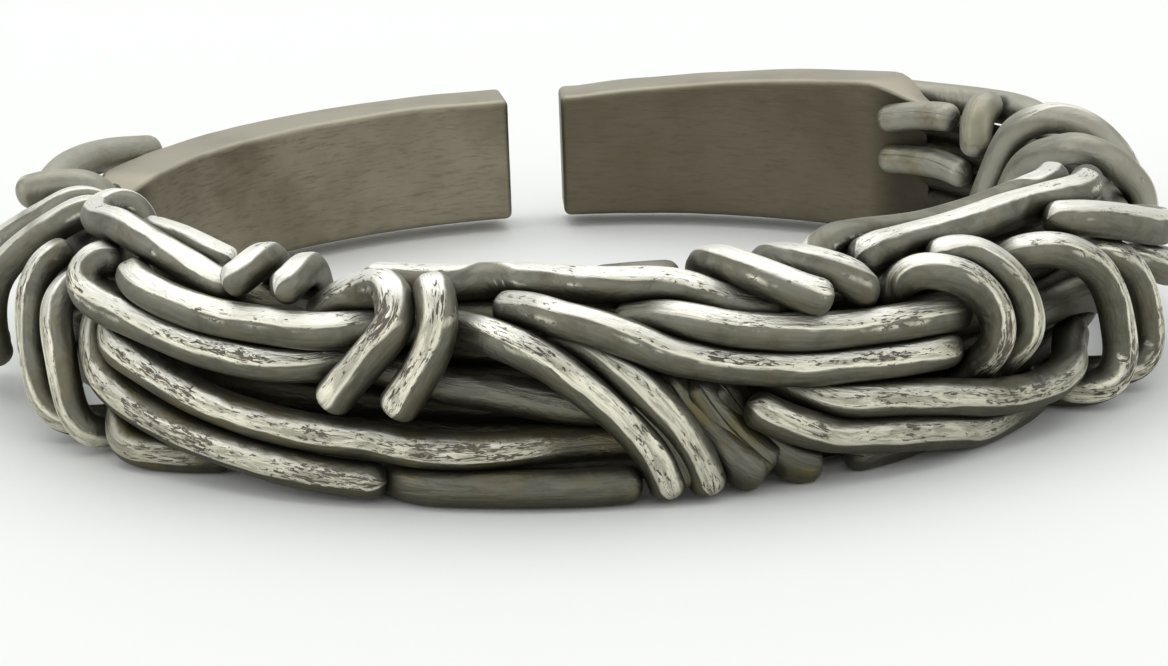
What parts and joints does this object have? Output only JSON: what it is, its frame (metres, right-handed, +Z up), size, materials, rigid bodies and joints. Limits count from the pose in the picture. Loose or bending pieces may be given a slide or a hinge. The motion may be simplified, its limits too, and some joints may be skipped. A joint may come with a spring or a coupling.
{
  "type": "barbed wire ring",
  "caption": "Finger ring of antiqued silver, woven from round wires with short barb-like ends round the front, on a plain band that is open at the back.",
  "frame": {"origin": "on the axis of the finger hole, at the level of the surface that the ring lies on", "axes": "+Z up along the axis of the finger hole, -Y towards the woven front, +X to the right as seen from the front"},
  "size_m": [0.0236, 0.0222, 0.0046],
  "materials": {
    "band_metal": "satin silver, darkened inside, bright along the upper edge",
    "wire_metal": "antiqued silver, filed bright on the high places, near black in the gaps"
  },
  "bodies": {
    "root": {"shank": "band_metal", "barb_left_a": "wire_metal", "barb_left_b": "wire_metal", "barb_far_left_a": "wire_metal", "barb_far_left_b": "wire_metal", "barb_right_a": "wire_metal", "barb_right_b": "wire_metal", "long_strand_upper": "wire_metal", "long_strand_lower": "wire_metal", "short_strand": "wire_metal", "top_left_strand_a": "wire_metal", "top_left_strand_b": "wire_metal", "top_front_strand_a": "wire_metal", "top_front_strand_b": "wire_metal", "right_strand_upper": "wire_metal", "right_strand_lower": "wire_metal", "right_hook_a": "wire_metal", "right_hook_b": "wire_metal", "far_right_hook_a": "wire_metal", "far_right_hook_b": "wire_metal", "top_right_strand_a": "wire_metal", "top_right_strand_b": "wire_metal", "low_right_strand_upper": "wire_metal", "low_right_strand_lower": "wire_metal", "low_right_rim_strand": "wire_metal", "low_slant_a": "wire_metal", "low_slant_b": "wire_metal", "left_hook_a": "wire_metal", "left_hook_b": "wire_metal", "low_left_strand_a": "wire_metal", "low_left_strand_b": "wire_metal", "low_left_strand_c": "wire_metal", "bottom_strand": "wire_metal", "left_wrap_a": "wire_metal", "left_wrap_b": "wire_metal", "left_wrap_c": "wire_metal", "left_side_strand_a": "wire_metal", "left_side_strand_b": "wire_metal", "left_side_strand_c": "wire_metal", "left_side_strand_d": "wire_metal", "right_wrap_a": "wire_metal", "right_wrap_b": "wire_metal", "right_wrap_c": "wire_metal", "right_side_strand_a": "wire_metal", "right_side_strand_b": "wire_metal", "right_side_strand_c": "wire_metal", "right_side_strand_d": "wire_metal", "inner_right_strand_a": "wire_metal", "inner_right_strand_b": "wire_metal", "inner_low_strand": "wire_metal"}
  },
  "joints": []
}
